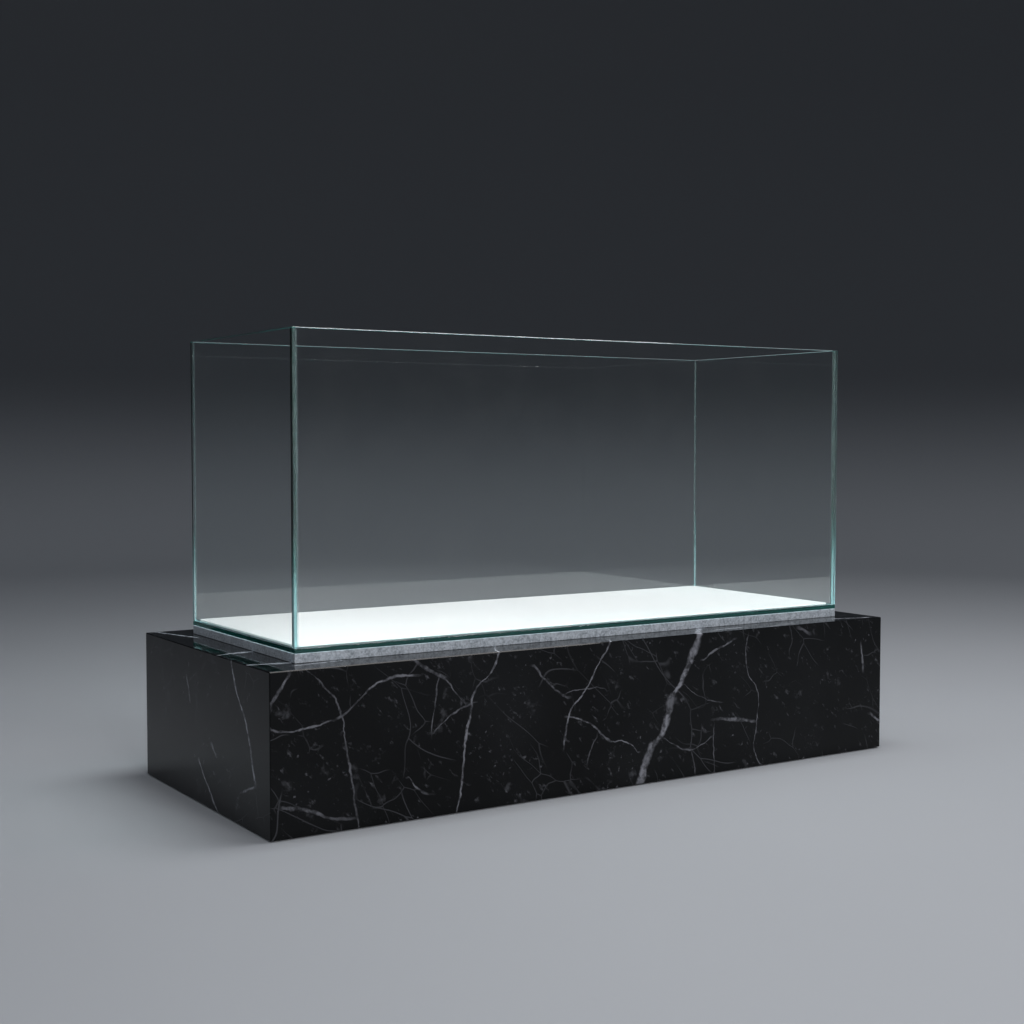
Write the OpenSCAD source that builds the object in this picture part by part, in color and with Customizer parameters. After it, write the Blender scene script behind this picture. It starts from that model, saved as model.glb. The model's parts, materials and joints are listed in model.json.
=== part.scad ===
// Rimless glass aquarium on a low black marble plinth.
// Origin: centre of the plinth's footprint, on the floor. +X along the length, -Y to the front.

/* [Tank] */
// Outer length of the tank
tank_l = 1200; // [1000:10:1300]
// Outer width of the tank, front to back
tank_w = 450; // [400:5:500]
// Height of the tank, bottom pane and walls
tank_h = 524; // [400:1:600]
// Thickness of the four glass walls
wall_t = 8; // [6:1:15]
// Thickness of the glass bottom pane
bottom_t = 8; // [8:1:12]
// Thickness of the silicone between two panes
bond_t = 0.6; // [0.5:0.1:1.5]
// Radius of the silicone bead inside each corner
bead_r = 2.5; // [2:0.5:3.5]

/* [Floor board] */
// Thickness of the white board on the tank's floor
board_t = 4; // [3:0.5:8]
// Corner radius of the board
board_r = 10; // [5:1:30]
// Gap between the board and the tank's walls
board_gap = 4; // [4:0.5:12]

/* [Levelling mat] */
// Thickness of the foam mat under the tank
mat_t = 16; // [6:1:20]

/* [Plinth] */
// Outer length of the plinth
plinth_l = 1340; // [1320:10:1500]
// Outer width of the plinth, front to back
plinth_w = 570; // [540:5:700]
// Height of the plinth's top above the floor
plinth_h = 268; // [220:1:450]
// Thickness of the marble slabs
slab_t = 20; // [15:1:30]
// Width of the small chamfer along the slabs' outer edges
arris = 1.6; // [0.8:0.2:3]
// Gap between the floor and the upright slabs
floor_gap = 3; // [2:0.5:4]

/* [Carcass] */
// Side of the square steel tube
tube_a = 30; // [30:5:40]
// Wall thickness of the steel tube
tube_wall = 2.5; // [2:0.5:3]
// Thickness of the plywood deck under the top slab
deck_t = 18; // [15:1:24]
// Thickness of the cement boards behind the upright slabs
backer_t = 9; // [8:1:12]
// Height of the carcass above the floor
frame_z = 22; // [22:0.5:26]

/* [Levelling feet] */
// Diameter of a foot's pad
pad_d = 44; // [36:1:44]
// Diameter of a foot's threaded stud
stud_d = 10; // [8:1:10]

/* [Hidden] */

MARBLE = [0.03, 0.03, 0.035];
PLYWOOD = [0.72, 0.56, 0.38];
CEMENT = [0.55, 0.55, 0.53];
STEEL = [0.12, 0.12, 0.13];
ZINC = [0.7, 0.72, 0.74];
BLACK_NYLON = [0.06, 0.06, 0.06];
FOAM = [0.56, 0.58, 0.61];
GLASS = [0.55, 0.8, 0.76, 0.35];
SILICONE = [0.8, 0.86, 0.86, 0.6];
WHITE = [0.93, 0.94, 0.95];

LEFT = -1;
MIDDLE = 0;
RIGHT = 1;
FRONT = -1;
BACK = 1;
TOP = 1;
BOTTOM = -1;

// Heights, from the floor up
rail_z = frame_z + tube_a;
deck_z = plinth_h - slab_t - deck_t;
top_rail_z = deck_z - tube_a;
mat_z = plinth_h;
tank_z = plinth_h + mat_t;
pane_z = tank_z + bottom_t;
wall_z = pane_z + bond_t;
rim_z = tank_z + tank_h;
wall_h = rim_z - wall_z;

// Inside faces of the upright slabs, and outside faces of the steel frame
inside_x = plinth_l / 2 - slab_t;
inside_y = plinth_w / 2 - slab_t;
frame_x = inside_x - backer_t;
frame_y = inside_y - backer_t;
rail_y = frame_y - tube_a / 2;
post_x = frame_x - tube_a / 2;
cross_l = 2 * frame_y - 2 * tube_a;
tube_ease = 2;

// How far a cutting shape reaches past the solid that it cuts
cut_over = 1;

// Glass and mat: the front and back panes cover the ends of the left and right panes
glass_ease = 1;
mat_ease = 0.6;
side_pane_w = tank_w - 2 * wall_t - 2 * bond_t;
inner_x = tank_l / 2 - wall_t;
inner_y = tank_w / 2 - wall_t;
seam_top_gap = 2;
bead_steps = 6;

// Levelling feet
foot_inset = 22;
foot_x = post_x - foot_inset;
stud_play = 0.1;
part_gap = 0.2;
boss_gap = 0.3;
tip_gap = 1;
insert_d = 13;
insert_flange_d = 17;
insert_flange_t = 1;
insert_l = 16;
pad_t = 6;
pad_edge = 1;
pad_chamfer = 2;
boss_d = 20;
boss_rise = 1;
boss_chamfer = 1;
pin_d = 7;
pin_z = 4;
hex_top = frame_z - insert_flange_t - part_gap;
hex_h = 5;
hex_d = 18;
boss_top = hex_top - hex_h - boss_gap;
stud_top = rail_z - tube_wall - tip_gap;
thread_pitch = 1.5;
thread_depth = 0.5;
thread_start = 1;
thread_root = 1;

// Screws that hold the deck on the top rails
screw_d = 6;
screw_head_d = 12;
screw_head_h = 3;
screw_l = 36;
screw_play = 0.2;
screw_hole_d = screw_d + 2 * screw_play;
screw_socket_d = 5;
screw_socket_floor = 1;
screw_x = [-560, -200, 200, 560];

$fn = 64;

// Outline of a rectangle with its four corners cut at 45 degrees
function eased(w, h, c) = [
    [-w / 2 + c, -h / 2], [w / 2 - c, -h / 2], [w / 2, -h / 2 + c], [w / 2, h / 2 - c],
    [w / 2 - c, h / 2], [-w / 2 + c, h / 2], [-w / 2, h / 2 - c], [-w / 2, -h / 2 + c]
];

// Concave quarter circle that fills the corner at [0, 0], from +X round to +Y
function bead_arc(r) = [for (i = [0:bead_steps]) let (a = 270 - 90 * i / bead_steps)
    [r + r * cos(a), r + r * sin(a)]];

// Shapes drawn in the XZ or YZ plane and extruded along the third axis, centred on it
module along_y(length) {
    rotate([90, 0, 0]) linear_extrude(length, center = true) children();
}

module along_x(length) {
    rotate([90, 0, 90]) linear_extrude(length, center = true) children();
}

// Block centred on the origin, with all twelve edges chamfered
module eased_block(size, c) {
    intersection() {
        linear_extrude(size.z, center = true) polygon(eased(size.x, size.y, c));
        along_y(size.y) polygon(eased(size.x, size.z, c));
        along_x(size.x) polygon(eased(size.y, size.z, c));
    }
}

// ---- Marble ----

// Section of a slab whose two ends are mitred at 45 degrees, outer face up at height 0
module mitred_section(width) {
    polygon([
        [-width / 2 + arris, 0], [width / 2 - arris, 0],
        [width / 2 - arris / 2, -arris / 2], [width / 2 - slab_t, -slab_t],
        [-width / 2 + slab_t, -slab_t], [-width / 2 + arris / 2, -arris / 2]
    ]);
}

// Section of an upright slab, outer face at x = 0, slab towards +X, mitred at its top
module upright_section() {
    polygon([
        [0, floor_gap], [0, plinth_h - arris], [arris / 2, plinth_h - arris / 2],
        [slab_t, plinth_h - slab_t], [slab_t, floor_gap]
    ]);
}

module top_slab() {
    color(MARBLE)
        translate([0, 0, plinth_h])
            intersection() {
                along_y(plinth_w) mitred_section(plinth_l);
                along_x(plinth_l) mitred_section(plinth_w);
            }
}

// Front or back slab: side is FRONT or BACK
module long_slab(side) {
    color(MARBLE)
        mirror([0, side == BACK ? 1 : 0, 0])
            translate([0, -plinth_w / 2, 0])
                intersection() {
                    along_x(plinth_l) upright_section();
                    linear_extrude(plinth_h) mirror([0, 1, 0]) mitred_section(plinth_l);
                }
}

// Left or right slab: side is LEFT or RIGHT
module end_slab(side) {
    color(MARBLE)
        mirror([side == RIGHT ? 1 : 0, 0, 0])
            translate([-plinth_l / 2, 0, 0])
                intersection() {
                    along_y(plinth_w) upright_section();
                    linear_extrude(plinth_h) rotate(90) mitred_section(plinth_w);
                }
}

// ---- Deck and backer boards ----

module deck_board() {
    color(PLYWOOD)
        difference() {
            translate([-inside_x, -inside_y, deck_z])
                cube([2 * inside_x, 2 * inside_y, deck_t]);
            at_screws() {
                translate([0, 0, deck_z - cut_over])
                    cylinder(h = deck_t + 2 * cut_over, d = screw_hole_d);
                translate([0, 0, plinth_h - slab_t - screw_head_h])
                    cylinder(h = screw_head_h + cut_over, d = screw_head_d + 2 * screw_play);
            }
        }
}

module at_screws() {
    for (x = screw_x, y = [-rail_y, rail_y]) translate([x, y, 0]) children();
}

module deck_screws() {
    head_z = plinth_h - slab_t - screw_head_h;
    color(ZINC)
        at_screws()
            difference() {
                union() {
                    translate([0, 0, head_z]) cylinder(h = screw_head_h - part_gap, d = screw_head_d);
                    translate([0, 0, head_z - screw_l]) cylinder(h = screw_l, d = screw_d);
                }
                translate([0, 0, head_z + screw_socket_floor])
                    cylinder(h = screw_head_h, d = screw_socket_d, $fn = 6);
            }
}

// Front or back cement board
module long_backer(side) {
    color(CEMENT)
        translate([-inside_x, side * (inside_y - backer_t / 2) - backer_t / 2, frame_z])
            cube([2 * inside_x, backer_t, deck_z - frame_z]);
}

// Left or right cement board, between the front and back ones
module end_backer(side) {
    color(CEMENT)
        translate([side * (inside_x - backer_t / 2) - backer_t / 2, -frame_y, frame_z])
            cube([backer_t, 2 * frame_y, deck_z - frame_z]);
}

// ---- Steel frame ----

module tube_section() {
    difference() {
        polygon(eased(tube_a, tube_a, tube_ease));
        square(tube_a - 2 * tube_wall, center = true);
    }
}

// Long rail: side is FRONT or BACK, level is TOP or BOTTOM
module long_rail(side, level) {
    z = level == TOP ? top_rail_z : frame_z;
    color(STEEL)
        difference() {
            translate([0, side * rail_y, z + tube_a / 2]) along_x(2 * frame_x) tube_section();
            if (level == TOP) {
                at_screws()
                    translate([0, 0, z + tube_a - tube_wall - cut_over])
                        cylinder(h = tube_wall + 2 * cut_over, d = screw_hole_d);
            } else {
                at_feet(side)
                    translate([0, 0, z - cut_over]) cylinder(h = tube_wall + 2 * cut_over, d = insert_d);
            }
        }
}

// Cross member between the long rails: place is LEFT, MIDDLE or RIGHT
module cross_member(place, level) {
    z = level == TOP ? top_rail_z : frame_z;
    color(STEEL)
        translate([place * post_x, 0, z + tube_a / 2]) along_y(cross_l) tube_section();
}

module post(place, side) {
    color(STEEL)
        translate([place * post_x, side * rail_y, rail_z])
            linear_extrude(top_rail_z - rail_z) tube_section();
}

// ---- Levelling feet ----

// The three feet of one long rail
module at_feet(side) {
    for (place = [LEFT, MIDDLE, RIGHT]) translate([place * foot_x, side * rail_y, 0]) children();
}

module foot_inserts() {
    color(ZINC)
        for (side = [FRONT, BACK])
            at_feet(side)
                difference() {
                    union() {
                        translate([0, 0, frame_z - insert_flange_t])
                            cylinder(h = insert_flange_t, d = insert_flange_d);
                        translate([0, 0, frame_z]) cylinder(h = insert_l, d = insert_d);
                    }
                    translate([0, 0, frame_z - insert_flange_t - cut_over])
                        cylinder(
                            h = insert_l + insert_flange_t + 2 * cut_over,
                            d = stud_d + 2 * stud_play
                        );
                }
}

// Pad with a boss, bored for the pin at the stud's lower end
module pad(place, side) {
    color(BLACK_NYLON)
        translate([place * foot_x, side * rail_y, 0])
            difference() {
                rotate_extrude() polygon([
                    [0, 0], [pad_d / 2 - pad_edge, 0], [pad_d / 2, pad_edge],
                    [pad_d / 2, pad_t - pad_chamfer], [pad_d / 2 - pad_chamfer, pad_t],
                    [boss_d / 2, pad_t + boss_rise], [boss_d / 2, boss_top - boss_chamfer],
                    [boss_d / 2 - boss_chamfer, boss_top], [0, boss_top]
                ]);
                translate([0, 0, pin_z]) cylinder(h = boss_top, d = pin_d + 2 * stud_play);
            }
}

// Stud with its adjusting hexagon, and thread ridges on its upper part
module stud(place, side) {
    core_d = stud_d - 2 * thread_depth;
    turns = floor((stud_top - hex_top - thread_start) / thread_pitch);
    color(ZINC)
        translate([place * foot_x, side * rail_y, 0]) {
            translate([0, 0, pin_z + part_gap]) cylinder(h = hex_top - pin_z - part_gap, d = pin_d);
            translate([0, 0, hex_top - hex_h]) cylinder(h = hex_h, d = hex_d, $fn = 6);
            rotate_extrude() polygon([
                [0, hex_top - thread_root], [core_d / 2, hex_top - thread_root],
                for (i = [0:turns - 1], p = [[core_d, 0], [stud_d, 0.5]])
                    [p[0] / 2, hex_top + thread_start + thread_pitch * (i + p[1])],
                [core_d / 2, stud_top], [0, stud_top]
            ]);
        }
}

// ---- Mat, tank and board ----

module levelling_mat() {
    color(FOAM)
        translate([0, 0, mat_z + mat_t / 2]) eased_block([tank_l, tank_w, mat_t], mat_ease);
}

module bottom_pane() {
    color(GLASS)
        translate([0, 0, tank_z + bottom_t / 2])
            eased_block([tank_l, tank_w, bottom_t], glass_ease);
}

// Front or back pane, the tank's full length
module long_pane(side) {
    color(GLASS)
        translate([0, side * (tank_w - wall_t) / 2, wall_z + wall_h / 2])
            eased_block([tank_l, wall_t, wall_h], glass_ease);
}

// Left or right pane, between the long panes
module end_pane(side) {
    color(GLASS)
        translate([side * (tank_l - wall_t) / 2, 0, wall_z + wall_h / 2])
            eased_block([wall_t, side_pane_w, wall_h], glass_ease);
}

// Silicone under the four walls, with a bead all round inside
module floor_seam() {
    bead_z = wall_z + bead_r;
    color(SILICONE)
        difference() {
            union() {
                translate([0, 0, pane_z + bond_t / 2])
                    cube([tank_l - 2 * glass_ease, tank_w - 2 * glass_ease, bond_t], center = true);
                translate([-inner_x, -inner_y, pane_z])
                    cube([2 * inner_x, 2 * inner_y, bond_t + bead_r]);
            }
            intersection() {
                along_y(tank_w) bead_void(inner_x, bead_z);
                along_x(tank_l) bead_void(inner_y, bead_z);
            }
        }
}

// Section of the open space above a bead that runs along both sides of a floor
module bead_void(half, bead_z) {
    right = [for (p = bead_arc(bead_r)) [half - p.x, wall_z + p.y]];
    left = [for (i = [bead_steps:-1:0]) [-right[i].x, right[i].y]];
    polygon(concat(
        [[half - bead_r, pane_z - cut_over]], right, [[half, bead_z + cut_over], [-half, bead_z + cut_over]],
        left, [[-half + bead_r, pane_z - cut_over]]
    ));
}

// Silicone in an upright corner: a strip between the panes and a bead inside
module corner_seam(place, side) {
    seam_top = rim_z - seam_top_gap;
    color(SILICONE)
        mirror([place == RIGHT ? 1 : 0, 0, 0])
            mirror([0, side == BACK ? 1 : 0, 0]) {
                translate([-tank_l / 2 + glass_ease, -inner_y, wall_z])
                    cube([wall_t - glass_ease, bond_t, seam_top - wall_z]);
                translate([-inner_x, -inner_y, wall_z + bead_r])
                    linear_extrude(seam_top - wall_z - bead_r)
                        polygon(concat(
                            [[0, 0], [bead_r, 0]],
                            [for (p = bead_arc(bead_r)) [p.x, bond_t + p.y]]
                        ));
            }
}

module floor_board() {
    length = 2 * (inner_x - board_gap);
    width = 2 * (inner_y - board_gap);
    color(WHITE)
        translate([0, 0, pane_z])
            linear_extrude(board_t) {
                square([length - 2 * board_r, width], center = true);
                square([length, width - 2 * board_r], center = true);
                for (x = [-1, 1], y = [-1, 1])
                    translate([x * (length / 2 - board_r), y * (width / 2 - board_r)])
                        circle(board_r);
            }
}

top_slab();
long_slab(FRONT);  // front_slab
long_slab(BACK);  // back_slab
end_slab(LEFT);  // left_slab
end_slab(RIGHT);  // right_slab
deck_board();
deck_screws();
long_backer(FRONT);  // front_backer
long_backer(BACK);  // back_backer
end_backer(LEFT);  // left_backer
end_backer(RIGHT);  // right_backer
long_rail(FRONT, TOP);  // top_front_rail
long_rail(BACK, TOP);  // top_back_rail
long_rail(FRONT, BOTTOM);  // bottom_front_rail
long_rail(BACK, BOTTOM);  // bottom_back_rail
cross_member(LEFT, TOP);  // top_left_cross
cross_member(MIDDLE, TOP);  // top_middle_cross
cross_member(RIGHT, TOP);  // top_right_cross
cross_member(LEFT, BOTTOM);  // bottom_left_cross
cross_member(MIDDLE, BOTTOM);  // bottom_middle_cross
cross_member(RIGHT, BOTTOM);  // bottom_right_cross
post(LEFT, FRONT);  // front_left_post
post(MIDDLE, FRONT);  // front_middle_post
post(RIGHT, FRONT);  // front_right_post
post(LEFT, BACK);  // back_left_post
post(MIDDLE, BACK);  // back_middle_post
post(RIGHT, BACK);  // back_right_post
foot_inserts();
pad(LEFT, FRONT);  // front_left_pad
pad(MIDDLE, FRONT);  // front_middle_pad
pad(RIGHT, FRONT);  // front_right_pad
pad(LEFT, BACK);  // back_left_pad
pad(MIDDLE, BACK);  // back_middle_pad
pad(RIGHT, BACK);  // back_right_pad
stud(LEFT, FRONT);  // front_left_stud
stud(MIDDLE, FRONT);  // front_middle_stud
stud(RIGHT, FRONT);  // front_right_stud
stud(LEFT, BACK);  // back_left_stud
stud(MIDDLE, BACK);  // back_middle_stud
stud(RIGHT, BACK);  // back_right_stud
levelling_mat();
bottom_pane();
long_pane(FRONT);  // front_pane
long_pane(BACK);  // back_pane
end_pane(LEFT);  // left_pane
end_pane(RIGHT);  // right_pane
floor_seam();
corner_seam(LEFT, FRONT);  // front_left_seam
corner_seam(RIGHT, FRONT);  // front_right_seam
corner_seam(LEFT, BACK);  // back_left_seam
corner_seam(RIGHT, BACK);  // back_right_seam
floor_board();
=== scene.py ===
import json
import math
import random

import bmesh
import bpy
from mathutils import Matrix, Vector, noise


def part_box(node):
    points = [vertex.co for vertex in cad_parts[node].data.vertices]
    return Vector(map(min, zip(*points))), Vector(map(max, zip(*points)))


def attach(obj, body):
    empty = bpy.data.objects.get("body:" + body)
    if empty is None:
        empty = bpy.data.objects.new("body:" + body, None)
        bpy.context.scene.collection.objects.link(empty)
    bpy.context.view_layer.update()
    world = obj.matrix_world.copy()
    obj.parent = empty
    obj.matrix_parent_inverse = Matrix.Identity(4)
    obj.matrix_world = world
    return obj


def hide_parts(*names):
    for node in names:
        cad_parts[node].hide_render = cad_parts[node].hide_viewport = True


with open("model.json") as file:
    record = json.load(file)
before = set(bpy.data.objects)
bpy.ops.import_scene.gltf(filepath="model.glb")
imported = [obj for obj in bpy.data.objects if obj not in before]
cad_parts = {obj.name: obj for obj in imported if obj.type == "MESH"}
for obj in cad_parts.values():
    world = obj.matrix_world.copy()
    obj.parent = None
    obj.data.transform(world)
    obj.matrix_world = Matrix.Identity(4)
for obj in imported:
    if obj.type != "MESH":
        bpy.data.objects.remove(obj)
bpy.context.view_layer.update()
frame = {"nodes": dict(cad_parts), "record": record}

X, Y, Z = 0, 1, 2
MM = 0.001

# The camera, in the frame's metres and in degrees. It turns from +Y towards +X and tilts down.
CAMERA_PLACE = (-1.603, -2.429, 0.628)
CAMERA_TURN = 32.77
CAMERA_TILT = 2.76
CAMERA_LENS_MM = 52.7
CAMERA_SENSOR_MM = 36.0
CAMERA_REACH = 60.0

# Main veins of the marble as (route, width in mm, brightness).
# A route's points are metres across and up the slab's face.
FRONT_VEINS = (
    (((0.195, 0.275), (0.175, 0.225), (0.145, 0.18), (0.12, 0.145), (0.11, 0.105), (0.08, 0.06),
      (0.05, 0.0)), 19, 0.95),
    (((0.275, 0.25), (0.24, 0.238), (0.205, 0.22)), 5, 0.6),
    (((-0.245, 0.27), (-0.265, 0.235), (-0.3, 0.2), (-0.305, 0.165), (-0.32, 0.085),
      (-0.335, 0.0)), 5, 0.75),
    (((-0.365, 0.235), (-0.34, 0.21), (-0.315, 0.185)), 4, 0.55),
    (((-0.3, 0.185), (-0.33, 0.175), (-0.375, 0.14)), 4, 0.5),
    (((-0.37, 0.235), (-0.376, 0.19), (-0.378, 0.14)), 3, 0.4),
    (((-0.415, 0.268), (-0.385, 0.245), (-0.36, 0.23)), 9, 0.6),
    (((-0.67, 0.185), (-0.65, 0.171), (-0.61, 0.173), (-0.555, 0.185), (-0.52, 0.205), (-0.49, 0.23),
      (-0.45, 0.242), (-0.405, 0.241)), 5, 0.6),
    (((-0.61, 0.27), (-0.57, 0.23), (-0.55, 0.195), (-0.54, 0.14), (-0.53, 0.075), (-0.515, 0.0)), 4, 0.45),
    (((-0.635, 0.26), (-0.65, 0.24), (-0.668, 0.215)), 7, 0.6),
    (((-0.65, 0.055), (-0.595, 0.04), (-0.56, 0.022), (-0.525, 0.02)), 7, 0.5),
    (((-0.425, 0.075), (-0.41, 0.052), (-0.385, 0.038)), 4, 0.5),
    (((-0.015, 0.265), (-0.05, 0.215), (-0.08, 0.175), (-0.105, 0.14), (-0.117, 0.09)), 4, 0.7),
    (((-0.18, 0.24), (-0.145, 0.205), (-0.108, 0.175)), 5, 0.5),
    (((-0.105, 0.14), (-0.05, 0.118), (-0.015, 0.092), (0.02, 0.086), (0.052, 0.06)), 4, 0.7),
    (((-0.11, 0.182), (-0.065, 0.189), (-0.02, 0.18)), 3, 0.45),
    (((0.313, 0.255), (0.308, 0.2), (0.337, 0.135), (0.334, 0.075), (0.33, 0.04), (0.365, 0.0)), 3, 0.5),
    (((0.228, 0.104), (0.285, 0.097), (0.33, 0.088)), 7, 0.55),
    (((0.11, 0.08), (0.14, 0.06), (0.168, 0.05), (0.195, 0.056), (0.222, 0.07)), 4, 0.6),
    (((0.174, 0.048), (0.18, 0.025), (0.185, 0.0)), 3, 0.45),
    (((0.228, 0.1), (0.23, 0.05), (0.229, 0.0)), 3, 0.4),
    (((0.155, 0.177), (0.19, 0.15), (0.24, 0.135)), 3, 0.35),
    (((-0.043, 0.1), (-0.055, 0.08), (-0.066, 0.05)), 3, 0.35),
    (((0.612, 0.215), (0.618, 0.19), (0.623, 0.164)), 6, 0.55),
    (((0.64, 0.075), (0.655, 0.062), (0.675, 0.05)), 6, 0.6),
    (((0.44, 0.262), (0.455, 0.257), (0.47, 0.25)), 10, 0.55),
)
LEFT_VEINS = (
    (((-0.13, 0.27), (-0.15, 0.225), (-0.19, 0.175), (-0.212, 0.125), (-0.226, 0.08)), 7, 1.3),
    (((-0.226, 0.08), (-0.195, 0.065), (-0.16, 0.053)), 6, 0.8),
    (((0.02, 0.075), (-0.02, 0.04), (-0.065, 0.0)), 7, 1.1),
    (((0.075, 0.215), (0.062, 0.185), (0.058, 0.17)), 8, 0.8),
    (((-0.04, 0.118), (-0.052, 0.107), (-0.062, 0.1)), 9, 0.8),
)
# The top's veins are far brighter than the sides': partly the veins' own white, partly painted light for
# the stronger light that falls on the top
TOP_VEINS = (
    (((-0.672, -0.068), (-0.635, -0.062), (-0.585, -0.057)), 16, 2.7),
    (((-0.672, -0.196), (-0.645, -0.204), (-0.6, -0.208)), 14, 2.7),
    (((-0.655, 0.285), (-0.634, 0.229), (-0.615, 0.165)), 10, 2.4),
    (((-0.61, -0.243), (-0.565, -0.236), (-0.52, -0.23)), 12, 2.4),
    (((-0.25, -0.29), (-0.235, -0.255), (-0.2, -0.2)), 6, 2.0),
    (((0.185, -0.29), (0.215, -0.255), (0.27, -0.2)), 16, 2.4),
    (((0.24, -0.27), (0.28, -0.262), (0.33, -0.26)), 12, 2.2),
    (((0.37, -0.275), (0.4, -0.268), (0.45, -0.262)), 10, 1.9),
    (((-0.015, -0.29), (0.0, -0.25), (0.01, -0.2)), 5, 1.7),
    (((0.56, -0.25), (0.6, -0.262), (0.65, -0.272)), 12, 2.4),
    (((0.62, -0.2), (0.645, -0.12), (0.66, 0.05)), 7, 2.0),
    (((0.1, 0.29), (0.13, 0.25), (0.16, 0.2)), 8, 1.7),
    (((-0.4, 0.29), (-0.38, 0.25), (-0.33, 0.2)), 5, 1.5),
)
# A vein's half width against its nominal width, the share of that half which is solid, and the ends' fade
VEIN_HALF = 0.6
VEIN_CORE = 0.3
VEIN_FADE = 12 * MM

GLASS_TINT = (0.0, 0.74, 0.70)
GLASS_DENSITY = 3.6
GLASS_IOR = 1.52
# How much of a cut edge's look is its own green: upright, more beside the board, where the edge carries a
# painted glow that stands for the board's light, more on top
UPRIGHT_SHARE = 0.03
PAINTED_GLOW_SHARE = 0.72
RIM_SHARE = 0.09
BOTTOM_SHARE = 0.24
# Between which parts of the panes' height the painted glow of the board's light dies away in their upright
# edges
PAINTED_GLOW_FROM = 0.08
PAINTED_GLOW_TO = 0.4

# How far the own pieces stay inside the CAD, so that no two surfaces coincide
SEAM_GAP = 0.06 * MM
BOARD_GAP = 0.12 * MM
MAT_TOP_GAP = 0.15 * MM

BOARD_ROUND = 0.6 * MM
MAT_ROUND = 1.2 * MM
ROUND_SEGMENTS = 3
ROUND_ABOVE_DEGREES = 40
MAT_GRID = 6 * MM
MAT_WOBBLE = 0.25 * MM
MAT_SEED = 11.0
PLY = 3 * MM
# Two directions whose dot product is above this are taken as one
ALIGNED = 0.999


class Graph:
    """A material's node tree, with a short call for each kind of node used here."""

    def __init__(self, name):
        self.material = bpy.data.materials.new(name)
        self.material.use_nodes = True
        self.tree = self.material.node_tree
        self.tree.nodes.clear()
        self.output = self.node("OutputMaterial")

    def feed(self, socket, value):
        if isinstance(value, bpy.types.NodeSocket):
            self.tree.links.new(value, socket)
        elif value is not None:
            socket.default_value = value

    def node(self, kind, inputs=None, **settings):
        made = self.tree.nodes.new("ShaderNode" + kind)
        for name, value in settings.items():
            setattr(made, name, value)
        for name, value in (inputs or {}).items():
            self.feed(made.inputs[name], value)
        return made

    def place(self):
        """The point on the surface in the frame's metres, which stays with a piece when it moves."""
        return self.node("TexCoord").outputs["Object"]

    def math(self, operation, a, b=None, c=None):
        made = self.node("Math", operation=operation)
        for socket, value in zip(made.inputs, (a, b, c)):
            self.feed(socket, value)
        return made.outputs[0]

    def vector(self, operation, a, b=None, scale=None):
        made = self.node("VectorMath", operation=operation)
        self.feed(made.inputs[0], a)
        self.feed(made.inputs[1], b)
        self.feed(made.inputs[3], scale)
        return made.outputs[0]

    def noise(self, place, scale, detail=3.0, roughness=0.5, output=0):
        """output 0 is a number and output 1 a colour."""
        inputs = {"Vector": place, "Scale": scale, "Detail": detail, "Roughness": roughness}
        return self.node("TexNoise", inputs).outputs[output]

    def step(self, value, low, high, to_low=0.0, to_high=1.0, kind="SMOOTHSTEP"):
        """value's rise from low to high, as to_low to to_high."""
        made = self.node("MapRange", interpolation_type=kind)
        for socket, number in zip(made.inputs, (value, low, high, to_low, to_high)):
            self.feed(socket, number)
        return made.outputs[0]

    def mix(self, factor, a, b):
        made = self.node("Mix", data_type="RGBA")
        self.feed(made.inputs[0], factor)
        self.feed(made.inputs[6], a)
        self.feed(made.inputs[7], b)
        return made.outputs[2]

    def bump(self, height, strength, distance):
        return self.node("Bump", {"Height": height, "Strength": strength, "Distance": distance}).outputs[0]

    def principled(self, **inputs):
        """Shows a Principled shader, whose sockets are named with _ for a space."""
        named = {key.replace("_", " "): value for key, value in inputs.items()}
        self.feed(self.output.inputs["Surface"], self.node("BsdfPrincipled", named).outputs[0])


def rgb(*values):
    return (*values, 1.0)


# ---- Marble ----


def vein(g, across, up, route, width_mm, brightness, unevenness):
    """How white one vein makes the point: a smooth line through the route, which fades at both ends."""
    low, high = (tuple(f(p[i] for p in route) for i in (0, 1)) for f in (min, max))
    runs_up = high[1] - low[1] > high[0] - low[0]
    t, s = (1, 0) if runs_up else (0, 1)
    along, beside = (up, across) if runs_up else (across, up)
    span, reach = high[t] - low[t], max(high[s] - low[s], MM)
    bend = g.node("FloatCurve", {"Value": g.step(along, low[t], high[t], kind="LINEAR")})
    curve = bend.mapping.curves[0]
    points = sorted(((p[t] - low[t]) / span, (p[s] - low[s]) / reach) for p in route)
    curve.points[0].location, curve.points[1].location = points[0], points[-1]
    for point in points[1:-1]:
        curve.points.new(*point)
    bend.mapping.update()
    centre = g.math("MULTIPLY_ADD", bend.outputs[0], reach, low[s])
    off = g.math("ABSOLUTE", g.math("SUBTRACT", beside, centre))
    slant = math.hypot(1.0, reach / span)
    half = g.math("MULTIPLY", unevenness, VEIN_HALF * width_mm * MM * slant)
    line = g.step(off, g.math("MULTIPLY", half, VEIN_CORE), half, brightness, 0.0)
    start = g.step(along, low[t] - VEIN_FADE, low[t] + VEIN_FADE)
    end = g.step(along, high[t] - VEIN_FADE, high[t] + VEIN_FADE, 1.0, 0.0)
    return g.math("MULTIPLY", line, g.math("MULTIPLY", start, end))


def hairlines(g, place, scale, width, share):
    """A net of thin cracks that shows only in patches."""
    drift = g.vector("SUBTRACT", g.noise(place, scale * 0.6, 2.0, 0.6, output=1), (0.5,) * 3)
    bent = g.vector("ADD", place, g.vector("SCALE", drift, scale=0.9 / scale))
    cells = g.node("TexVoronoi", {"Vector": bent, "Scale": scale}, feature="DISTANCE_TO_EDGE")
    patches = g.step(g.noise(place, scale * 0.9, 3.0), 0.5, 0.62)
    return g.math("MULTIPLY", g.step(cells.outputs["Distance"], 0.0, width, share, 0.0), patches)


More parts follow.
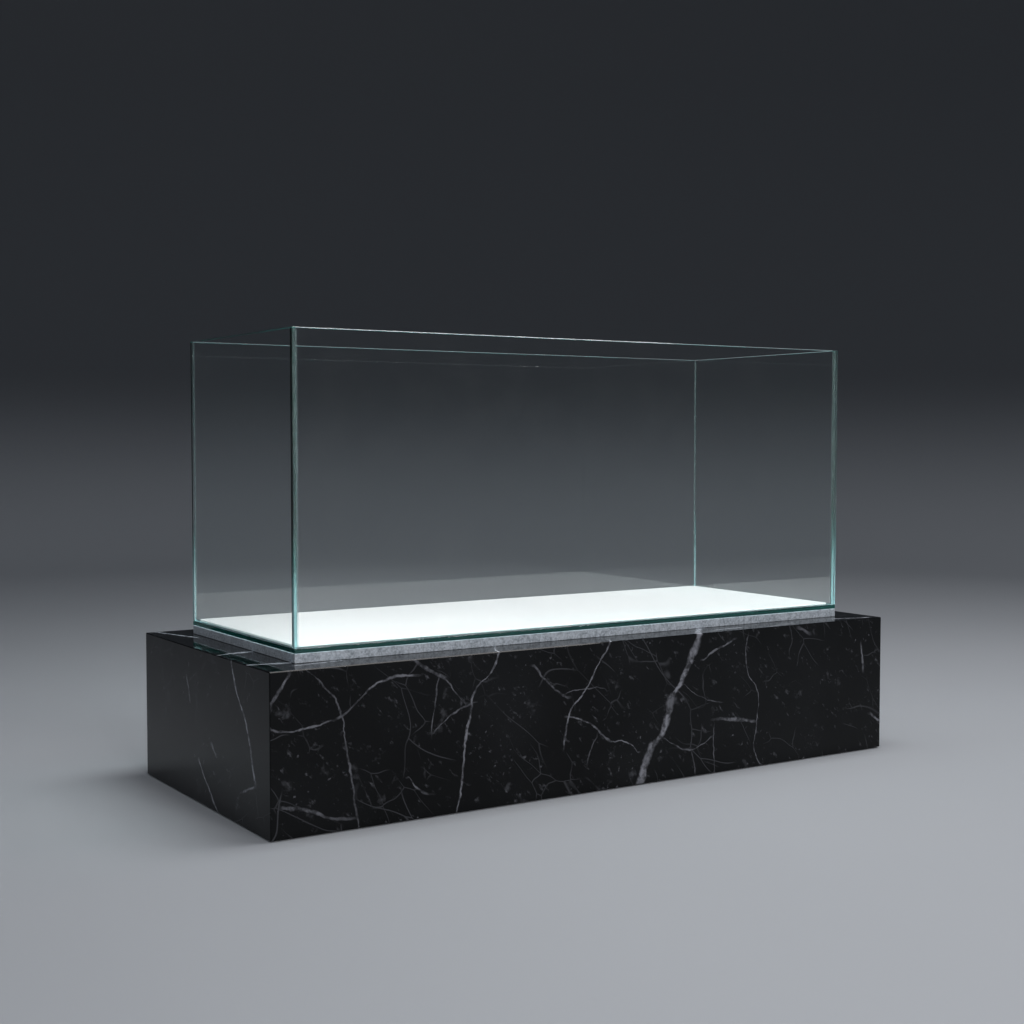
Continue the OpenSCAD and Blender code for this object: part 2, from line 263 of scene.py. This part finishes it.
def ground_marks(g, place):
    """The faint marks between the veins: short cracks, slanting streaks, specks and soft clouds."""
    leaning = {"Vector": place, "Rotation": (0.6, 0.7, 0.6), "Scale": (2.4, 0.75, 0.75)}
    slanted = g.node("Mapping", leaning, vector_type="TEXTURE").outputs[0]
    wide_net = hairlines(g, slanted, 6.0, 0.010, 0.11)
    cracks = g.math("MAXIMUM", wide_net, hairlines(g, slanted, 13.0, 0.016, 0.09))
    drawn = g.vector("MULTIPLY", slanted, (34.0, 68.0, 68.0))
    streaks = g.step(g.noise(drawn, 1.0, 4.0, 0.65), 0.6, 0.76, 0.0, 0.16)
    flecks = g.step(g.noise(place, 95.0, 3.0, 0.6), 0.62, 0.76, 0.0, 0.32)
    flecks = g.math("MULTIPLY", flecks, g.step(g.noise(place, 12.0, 3.0), 0.5, 0.66))
    blots = g.step(g.noise(place, 24.0, 5.0, 0.6), 0.62, 0.78, 0.0, 0.16)
    clouds = g.step(g.noise(place, 6.0, 4.0), 0.45, 0.75, 0.0, 0.007)
    marks = g.math("MAXIMUM", g.math("MAXIMUM", cracks, streaks), g.math("MAXIMUM", flecks, blots))
    return g.math("ADD", marks, clouds)


def marble(name, across, up, veins, offset):
    """Polished black marble with grey veins. across and up are the axes of the slab's face.

    The unevenness comes from the warped place and the bump from a noise of its own, because a
    shader that keeps more values at once than that shows black.
    """
    g = Graph(name)
    place = g.place()
    drift = g.vector("SUBTRACT", g.noise(place, 11.0, 4.0, output=1), (0.5,) * 3)
    quiver = g.vector("SUBTRACT", g.noise(place, 70.0, 3.0, output=1), (0.5,) * 3)
    warped = g.vector("ADD", place, g.vector("SCALE", drift, scale=0.022))
    warped = g.vector("ADD", warped, g.vector("SCALE", quiver, scale=0.006))
    parts = g.node("SeparateXYZ", {0: warped}).outputs
    unevenness = g.step(g.noise(warped, 30.0, 4.0, 0.6), 0.3, 0.7, 0.4, 1.2, "LINEAR")
    white = 0.0
    for route, width_mm, brightness in veins:
        line = vein(g, parts[across], parts[up], route, width_mm, brightness, unevenness)
        white = g.math("MAXIMUM", white, line)
    broken = g.step(g.noise(place, 75.0, 4.0, 0.65), 0.32, 0.6, 0.1, 0.7)
    faded = g.step(g.noise(place, 17.0, 3.0, 0.6), 0.36, 0.6, 0.45, 1.0)
    white = g.math("MULTIPLY", white, g.math("MULTIPLY", broken, faded))
    white = g.math("MAXIMUM", white, ground_marks(g, g.vector("ADD", place, offset)))
    ground = g.step(g.noise(place, 3.5, 3.0), 0.35, 0.65)
    ground = g.mix(ground, rgb(0.001, 0.0012, 0.0014), rgb(0.003, 0.0035, 0.004))
    colour = g.mix(g.math("MINIMUM", white, 1.0), ground, rgb(0.36, 0.37, 0.42))
    roughness = g.step(g.noise(place, 18.0, 4.0, 0.6), 0.3, 0.7, 0.045, 0.085, "LINEAR")
    roughness = g.math("MULTIPLY_ADD", white, 0.08, roughness)
    g.principled(
        Base_Color=colour, Roughness=roughness, IOR=1.52, Specular_IOR_Level=0.17,
        Normal=g.bump(g.noise(place, 9.0, 2.0), 0.02, 0.001),
    )
    return g.material


def grown_veins(seed, half_length, height, count):
    """Veins for a slab the photo doesn't show: each starts at the slab's top and wanders down."""
    rng = random.Random(seed)
    veins = []
    for i in range(count):
        x = -half_length + 2 * half_length * (i + rng.random()) / count
        lean = rng.uniform(-0.5, 0.5)
        stop = rng.choice((0.0, 0.0, 0.3, 0.55)) * height
        steps = 4
        route = []
        for k in range(steps + 1):
            z = height - (height - stop) * k / steps
            route.append((x + lean * (height - z) + rng.uniform(-0.012, 0.012), z))
        veins.append((tuple(route), rng.choice((3, 4, 4, 6, 12)), rng.uniform(0.45, 0.9)))
    return tuple(veins)


# ---- Glass and silicone ----

def cut_edge(g, place, faced, edge, grain, glow_from, glow_to, plain_share):
    """The green a cut edge scatters, and its share of the look. Low down the green turns pale, a painted
    glow for the board's light, which fades with height.
    """
    height = g.node("SeparateXYZ", {0: place}).outputs[Z]
    # Painted glow: low on the upright edges the green turns pale turquoise, standing in for the board's
    # light
    painted_glow = g.step(height, glow_from, glow_to, 1.0, 0.0)
    green = g.node("BsdfDiffuse", {"Color": g.mix(painted_glow, rgb(0.015, 0.30, 0.26), rgb(0.50, 0.80, 0.84))})
    ground = g.step(grain, 0.3, 0.7, 0.8, 1.0, "LINEAR")
    rim = g.math("MULTIPLY_ADD", g.step(faced[Z], 0.5, 0.9), RIM_SHARE, plain_share)
    share = g.math("MULTIPLY_ADD", painted_glow, PAINTED_GLOW_SHARE, rim)
    return green.outputs[0], g.math("MULTIPLY", g.math("MULTIPLY", edge, ground), share)


def glass(name, thin_axis, glow_from, glow_to, plain_share):
    """Clear float glass that greens the light along its way, with polished edges and ground arrises."""
    g = Graph(name)
    place = g.place()
    faced = g.node("SeparateXYZ", {0: g.node("NewGeometry").outputs["True Normal"]}).outputs
    facing = g.math("ABSOLUTE", faced[thin_axis])
    arris = g.math("MULTIPLY", g.step(facing, 0.3, 0.6), g.step(facing, 0.8, 0.95, 1.0, 0.0))
    edge = g.step(facing, 0.05, 0.3, 1.0, 0.0)
    grain = g.noise(place, 900.0, 2.0)
    edge_grain = g.math("MULTIPLY", edge, g.math("MULTIPLY", grain, 0.05))
    body = g.node("BsdfPrincipled", {
        "Base Color": rgb(1, 1, 1), "Roughness": g.math("MULTIPLY_ADD", arris, 0.09, edge_grain),
        "IOR": GLASS_IOR, "Transmission Weight": 1.0,
    })
    dust = g.step(g.noise(place, 14.0, 6.0, 0.7), 0.4, 0.75, 0.001, 0.004)
    dusty = g.node("MixShader", {0: dust, 1: body.outputs[0], 2: g.node("BsdfDiffuse").outputs[0]})
    green, share = cut_edge(g, place, faced, edge, grain, glow_from, glow_to, plain_share)
    whole = g.node("MixShader", {0: share, 1: dusty.outputs[0], 2: green})
    # Shadow rays pass nearly unhindered, so that the floor gets no dark caustic shadow
    passing = g.node("BsdfTransparent", {"Color": rgb(0.965, 0.985, 0.985)})
    shadow = g.node("LightPath").outputs["Is Shadow Ray"]
    both = g.node("MixShader", {0: shadow, 1: whole.outputs[0], 2: passing.outputs[0]})
    g.feed(g.output.inputs["Surface"], both.outputs[0])
    depth = g.node("VolumeAbsorption", {"Color": rgb(*GLASS_TINT), "Density": GLASS_DENSITY})
    g.feed(g.output.inputs["Volume"], depth.outputs[0])
    return g.material


def silicone():
    """Clear silicone: mostly see-through, milky, softly shiny."""
    g = Graph("clear_silicone")
    grain = g.noise(g.place(), 120.0, 3.0)
    milk = g.step(grain, 0.3, 0.7, 0.05, 0.1, "LINEAR")
    body = g.node("BsdfPrincipled", {
        "Base Color": rgb(0.40, 0.52, 0.52), "Roughness": 0.2, "IOR": 1.41,
        "Normal": g.bump(grain, 0.15, 0.0005),
    })
    passing = g.node("BsdfTransparent", {"Color": rgb(0.95, 0.98, 0.98)})
    both = g.node("MixShader", {0: milk, 1: passing.outputs[0], 2: body.outputs[0]})
    g.feed(g.output.inputs["Surface"], both.outputs[0])
    return g.material


# ---- Other materials ----


def white_board():
    """Satin white plastic sheet with a faint, even grain."""
    g = Graph("white_board")
    place = g.place()
    grain = g.noise(place, 1400.0, 2.0)
    cloud = g.step(g.noise(place, 5.0, 3.0), 0.3, 0.7)
    g.principled(
        Base_Color=g.mix(cloud, rgb(0.90, 0.91, 0.92), rgb(0.93, 0.935, 0.94)),
        Roughness=g.step(g.noise(place, 40.0, 3.0), 0.3, 0.7, 0.42, 0.55, "LINEAR"),
        Normal=g.bump(grain, 0.12, 0.0002),
    )
    return g.material


def foam():
    """Light grey closed-cell foam: fine cells, and pinholes where the knife opened them, darkened with
    painted shade.
    """
    g = Graph("grey_foam")
    place = g.place()
    cells = g.node("TexVoronoi", {"Vector": place, "Scale": 480.0}).outputs["Distance"]
    grain = g.noise(place, 300.0, 3.0, 0.7)
    cloud = g.noise(place, 70.0, 3.0, 0.6)
    tone = g.mix(g.step(grain, 0.36, 0.64, kind="LINEAR"), rgb(0.24, 0.275, 0.315), rgb(0.56, 0.62, 0.69))
    tone = g.mix(g.step(cloud, 0.4, 0.66, 0.0, 0.4), tone, rgb(0.64, 0.70, 0.77))
    pits_and_painted_shade = g.step(cells, 0.0, 0.32, 0.5, 0.0)
    height = g.math("SUBTRACT", g.math("MULTIPLY", grain, 0.6), pits_and_painted_shade)
    g.principled(
        # The pinholes' darker colour is painted shade in their hollows
        Base_Color=g.mix(pits_and_painted_shade, tone, rgb(0.22, 0.235, 0.255)), Roughness=0.92, Specular_IOR_Level=0.25,
        Normal=g.bump(height, 0.5, 0.0006),
    )
    return g.material


def plywood():
    """Rotary-cut birch: long grain on the faces and stacked plies on the edges."""
    g = Graph("plywood")
    place = g.place()
    height = g.node("SeparateXYZ", {0: place}).outputs[Z]
    stretched = g.vector("MULTIPLY", place, (3.0, 60.0, 60.0))
    grain = g.noise(stretched, 1.6, 5.0, 0.6)
    plies = g.step(g.math("PINGPONG", g.math("MULTIPLY", height, 1.0 / PLY), 1.0), 0.42, 0.58)
    tone = g.mix(g.step(grain, 0.3, 0.7), rgb(0.50, 0.34, 0.19), rgb(0.70, 0.53, 0.34))
    tone = g.mix(g.math("MULTIPLY", plies, 0.45), tone, rgb(0.32, 0.19, 0.09))
    g.principled(Base_Color=tone, Roughness=0.7, Normal=g.bump(grain, 0.25, 0.0006))
    return g.material


def cement_board():
    """Grey cement board with fine sand and faint cloudy streaks."""
    g = Graph("cement_board")
    place = g.place()
    sand = g.noise(place, 500.0, 3.0, 0.7)
    cloud = g.noise(place, 9.0, 4.0, 0.6)
    tone = g.mix(g.step(cloud, 0.3, 0.7), rgb(0.34, 0.34, 0.33), rgb(0.48, 0.48, 0.46))
    tone = g.mix(g.step(sand, 0.58, 0.7, 0.0, 0.5), tone, rgb(0.2, 0.2, 0.2))
    g.principled(Base_Color=tone, Roughness=0.9, Normal=g.bump(sand, 0.4, 0.0008))
    return g.material


def black_steel():
    """Black powder coat: an orange-peel surface with a satin shine."""
    g = Graph("steel_tube")
    place = g.place()
    peel = g.noise(place, 520.0, 2.0)
    wear = g.step(g.noise(place, 30.0, 5.0, 0.65), 0.62, 0.75, 0.0, 0.3)
    g.principled(
        Base_Color=g.mix(wear, rgb(0.018, 0.018, 0.02), rgb(0.06, 0.06, 0.065)),
        Roughness=g.step(peel, 0.3, 0.7, 0.34, 0.5, "LINEAR"),
        Normal=g.bump(peel, 0.3, 0.0004),
    )
    return g.material


def zinc():
    """Bright zinc plate, brushed round the threads, with a faint bluish cloud."""
    g = Graph("zinc_steel")
    place = g.place()
    lines = g.noise(g.vector("MULTIPLY", place, (300.0, 300.0, 2600.0)), 1.0, 3.0)
    cloud = g.noise(place, 90.0, 3.0)
    g.principled(
        Base_Color=g.mix(cloud, rgb(0.62, 0.64, 0.68), rgb(0.74, 0.73, 0.70)), Metallic=1.0,
        Roughness=g.step(lines, 0.3, 0.7, 0.22, 0.42, "LINEAR"),
        Normal=g.bump(lines, 0.1, 0.0002),
    )
    return g.material


def black_nylon():
    """Moulded black nylon with a fine spark-eroded grain and scuffs."""
    g = Graph("black_nylon")
    place = g.place()
    grain = g.noise(place, 1500.0, 2.0)
    scuffs = g.step(g.noise(place, 160.0, 4.0, 0.7), 0.6, 0.75, 0.0, 0.35)
    g.principled(
        Base_Color=g.mix(scuffs, rgb(0.014, 0.014, 0.015), rgb(0.07, 0.07, 0.07)),
        Roughness=g.step(grain, 0.3, 0.7, 0.45, 0.65, "LINEAR"),
        Normal=g.bump(grain, 0.25, 0.0003),
    )
    return g.material


def studio_paper():
    """Seamless paper with a barely visible mottle: pale on the floor, darker grey up the wall as painted
    shade.
    """
    g = Graph("studio_paper")
    place = g.place()
    cloud = g.noise(place, 0.7, 3.0)
    pale = g.mix(cloud, rgb(0.41, 0.435, 0.47), rgb(0.45, 0.475, 0.51))
    height = g.node("SeparateXYZ", {0: place}).outputs[Z]
    g.principled(
        # Painted shade: the paper darkens up the wall, standing in for the dim back of the studio
        Base_Color=g.mix(g.step(height, 0.0, 1.1), pale, rgb(0.11, 0.12, 0.135)), Roughness=0.6,
        Normal=g.bump(g.noise(place, 220.0, 2.0), 0.05, 0.0005),
    )
    return g.material


# ---- Pieces ----


def set_material(piece, material):
    """The piece's every slot shows this material."""
    if not piece.material_slots:
        piece.data.materials.append(material)
    for material_slot in piece.material_slots:
        material_slot.material = material


def new_piece(name, mesh, body, node, material):
    """A mesh that stands for a CAD node, on its body."""
    piece = bpy.data.objects.new(name, mesh)
    bpy.context.scene.collection.objects.link(piece)
    set_material(piece, material)
    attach(piece, body)
    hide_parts(node)
    return piece


def bevelled(piece, width):
    """Rounds the piece's sharp edges."""
    bevel = piece.modifiers.new("bevel", "BEVEL")
    bevel.width = width
    bevel.segments = ROUND_SEGMENTS
    bevel.limit_method = "ANGLE"
    bevel.angle_limit = math.radians(ROUND_ABOVE_DEGREES)
    bevel.harden_normals = True
    for polygon in piece.data.polygons:
        polygon.use_smooth = True


def mesh_data(mesh, name):
    """The finished bmesh as a mesh that an object can show."""
    data = bpy.data.meshes.new(name)
    mesh.to_mesh(data)
    mesh.free()
    return data


def drawn_in(node, gap):
    """The CAD node's mesh with every face moved inwards by gap."""
    mesh = bmesh.new()
    mesh.from_mesh(frame["nodes"][node].data)
    bmesh.ops.remove_doubles(mesh, verts=mesh.verts, dist=1e-6)
    bmesh.ops.dissolve_limit(mesh, angle_limit=math.radians(1), verts=mesh.verts, edges=mesh.edges)
    bmesh.ops.recalc_face_normals(mesh, faces=mesh.faces)
    shifts = {}
    for v in mesh.verts:
        normals = []
        for face in v.link_faces:
            if all(face.normal.dot(n) < ALIGNED for n in normals):
                normals.append(face.normal.copy())
        shifts[v] = -gap * sum(normals, Vector())
    for v, shift in shifts.items():
        v.co += shift
    return mesh_data(mesh, node + "_drawn_in")


def gridded_block(low, high, step, wobble, seed):
    """A block cut into a grid, its upright faces drawn in unevenly, as cut foam's are."""
    mesh = bmesh.new()
    bmesh.ops.create_cube(mesh, size=1.0)
    centre, size = (low + high) / 2, high - low
    for v in mesh.verts:
        v.co = centre + Vector(a * b for a, b in zip(v.co, size))
    for axis in (X, Y, Z):
        cuts = max(2, round(size[axis] / step))
        direction = Vector(1.0 if i == axis else 0.0 for i in (X, Y, Z))
        for i in range(1, cuts):
            point = low + direction * size[axis] * i / cuts
            everything = mesh.verts[:] + mesh.edges[:] + mesh.faces[:]
            bmesh.ops.bisect_plane(mesh, geom=everything, plane_co=point, plane_no=direction)
    for v in mesh.verts:
        inside = [max(-1.0, min(1.0, (v.co[i] - centre[i]) / (size[i] / 2))) for i in (X, Y)]
        grain = noise.noise(v.co * 90.0 + Vector((seed, 0.0, 0.0)))
        for i in (X, Y):
            if abs(inside[i]) > ALIGNED:
                v.co[i] -= math.copysign(wobble * (0.6 + 0.5 * grain), inside[i])
    return mesh_data(mesh, "gridded_block")


def marble_slabs():
    half_length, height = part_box("front_slab")[1][X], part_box("top_slab")[1][Z]
    half_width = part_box("right_slab")[1][Y]
    slabs = {
        "front_slab": (X, Z, FRONT_VEINS, (0.0, 0.0, 0.0)),
        "left_slab": (Y, Z, LEFT_VEINS, (3.0, 0.0, 0.0)),
        "top_slab": (X, Y, TOP_VEINS, (0.0, 7.0, 0.0)),
        "back_slab": (X, Z, grown_veins(4, half_length, height, 9), (0.0, 5.0, 1.0)),
        "right_slab": (Y, Z, grown_veins(9, half_width, height, 4), (6.0, 0.0, 2.0)),
    }
    for node, (across, up, veins, offset) in slabs.items():
        set_material(frame["nodes"][node], marble("marble_" + node, across, up, veins, offset))


def glass_panes():
    thin_axes = {"front_pane": Y, "back_pane": Y, "left_pane": X, "right_pane": X}
    foot, top = (corner[Z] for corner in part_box("front_pane"))
    glow_from, glow_to = (foot + part * (top - foot) for part in (PAINTED_GLOW_FROM, PAINTED_GLOW_TO))
    for node, axis in thin_axes.items():
        material = glass("glass_" + node, axis, glow_from, glow_to, UPRIGHT_SHARE)
        set_material(frame["nodes"][node], material)
    # The painted glow of the board's light has died away below the bottom pane, so that none of its edge
    # gets it
    below, ground = -1.0, 0.0
    set_material(frame["nodes"]["bottom_pane"], glass("glass_bottom_pane", Z, below, ground, BOTTOM_SHARE))


def silicone_seams():
    material = silicone()
    for node in [n for n in frame["nodes"] if n.endswith("_seam")]:
        new_piece(node + "_bead", drawn_in(node, SEAM_GAP), "tank", node, material)


def foam_mat():
    low, high = (Vector(corner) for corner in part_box("levelling_mat"))
    high.z -= MAT_TOP_GAP
    data = gridded_block(low, high, MAT_GRID, MAT_WOBBLE, MAT_SEED)
    piece = new_piece("foam_mat", data, "levelling_mat", "levelling_mat", foam())
    bevelled(piece, MAT_ROUND)


def board():
    data = drawn_in("floor_board", BOARD_GAP)
    piece = new_piece("board", data, "floor_board", "floor_board", white_board())
    bevelled(piece, BOARD_ROUND)


def carcass():
    materials = {
        "plywood": plywood(), "cement_board": cement_board(), "steel_tube": black_steel(),
        "zinc_steel": zinc(), "black_nylon": black_nylon(),
    }
    for subpart in frame["record"]["subparts"]:
        if subpart["material_slot"] in materials:
            set_material(frame["nodes"][subpart["node"]], materials[subpart["material_slot"]])


# ---- Studio ----


def studio_floor():
    """A pale floor that curves up into a round wall, the same from all sides."""
    flat_radius, bend_radius, wall_top = 4.6, 3.6, 7.0
    profile = [(0.0, 0.0), (1.2, 0.0), (2.6, 0.0), (flat_radius, 0.0)]
    bend_steps = 16
    for i in range(1, bend_steps + 1):
        a = math.pi / 2 * i / bend_steps
        profile.append((flat_radius + bend_radius * math.sin(a), bend_radius * (1 - math.cos(a))))
    profile.append((flat_radius + bend_radius, wall_top))
    mesh = bmesh.new()
    chain = [mesh.verts.new((r, 0.0, z)) for r, z in profile]
    edges = [mesh.edges.new(pair) for pair in zip(chain, chain[1:])]
    bmesh.ops.spin(mesh, geom=chain + edges, axis=(0, 0, 1), cent=(0, 0, 0), angle=2 * math.pi, steps=96)
    bmesh.ops.remove_doubles(mesh, verts=mesh.verts, dist=1e-5)
    bmesh.ops.recalc_face_normals(mesh, faces=mesh.faces)
    for face in mesh.faces:
        face.smooth = True
    floor = bpy.data.objects.new("studio_floor", mesh_data(mesh, "studio_floor"))
    bpy.context.scene.collection.objects.link(floor)
    set_material(floor, studio_paper())


def softbox(name, place, target, size, power, colour):
    """A rectangular lamp at place that faces target. The size is in metres and the power in watts."""
    light = bpy.data.lights.new(name, "AREA")
    light.shape = "RECTANGLE"
    light.size, light.size_y = size
    light.energy = power
    light.color = colour
    box = bpy.data.objects.new(name, light)
    box.location = place
    box.rotation_euler = (Vector(target) - Vector(place)).to_track_quat("-Z", "Y").to_euler()
    bpy.context.scene.collection.objects.link(box)


def studio_light():
    softbox("top_box", (0.8, -0.3, 3.2), (0.8, -0.3, 0.0), (2.6, 1.2), 62.0, (1.0, 0.975, 0.965))
    softbox("front_box", (-0.7, -4.2, 1.9), (0.0, 0.0, 0.3), (2.0, 1.2), 85.0, (1.0, 0.98, 0.975))
    softbox("right_box", (3.0, -2.2, 2.2), (0.0, 0.0, 0.4), (1.6, 1.6), 14.0, (0.96, 0.98, 1.0))
    softbox("left_box", (-3.4, 0.8, 2.4), (0.0, 0.0, 0.3), (1.4, 1.4), 14.0, (0.96, 0.98, 1.0))
    world = bpy.data.worlds.new("studio")
    world.use_nodes = True
    back = world.node_tree.nodes["Background"]
    back.inputs["Color"].default_value = (0.80, 0.88, 1.0, 1.0)
    back.inputs["Strength"].default_value = 0.14
    bpy.context.scene.world = world


def camera():
    data = bpy.data.cameras.new("camera")
    data.sensor_width = CAMERA_SENSOR_MM
    data.lens = CAMERA_LENS_MM
    data.clip_end = CAMERA_REACH
    made = bpy.data.objects.new("camera", data)
    made.location = CAMERA_PLACE
    made.rotation_euler = (math.radians(90.0 - CAMERA_TILT), 0.0, -math.radians(CAMERA_TURN))
    bpy.context.scene.collection.objects.link(made)
    bpy.context.scene.camera = made


camera()
studio_floor()
studio_light()
marble_slabs()
glass_panes()
silicone_seams()
foam_mat()
board()
carcass()

bpy.context.scene.view_settings.view_transform = "Standard"
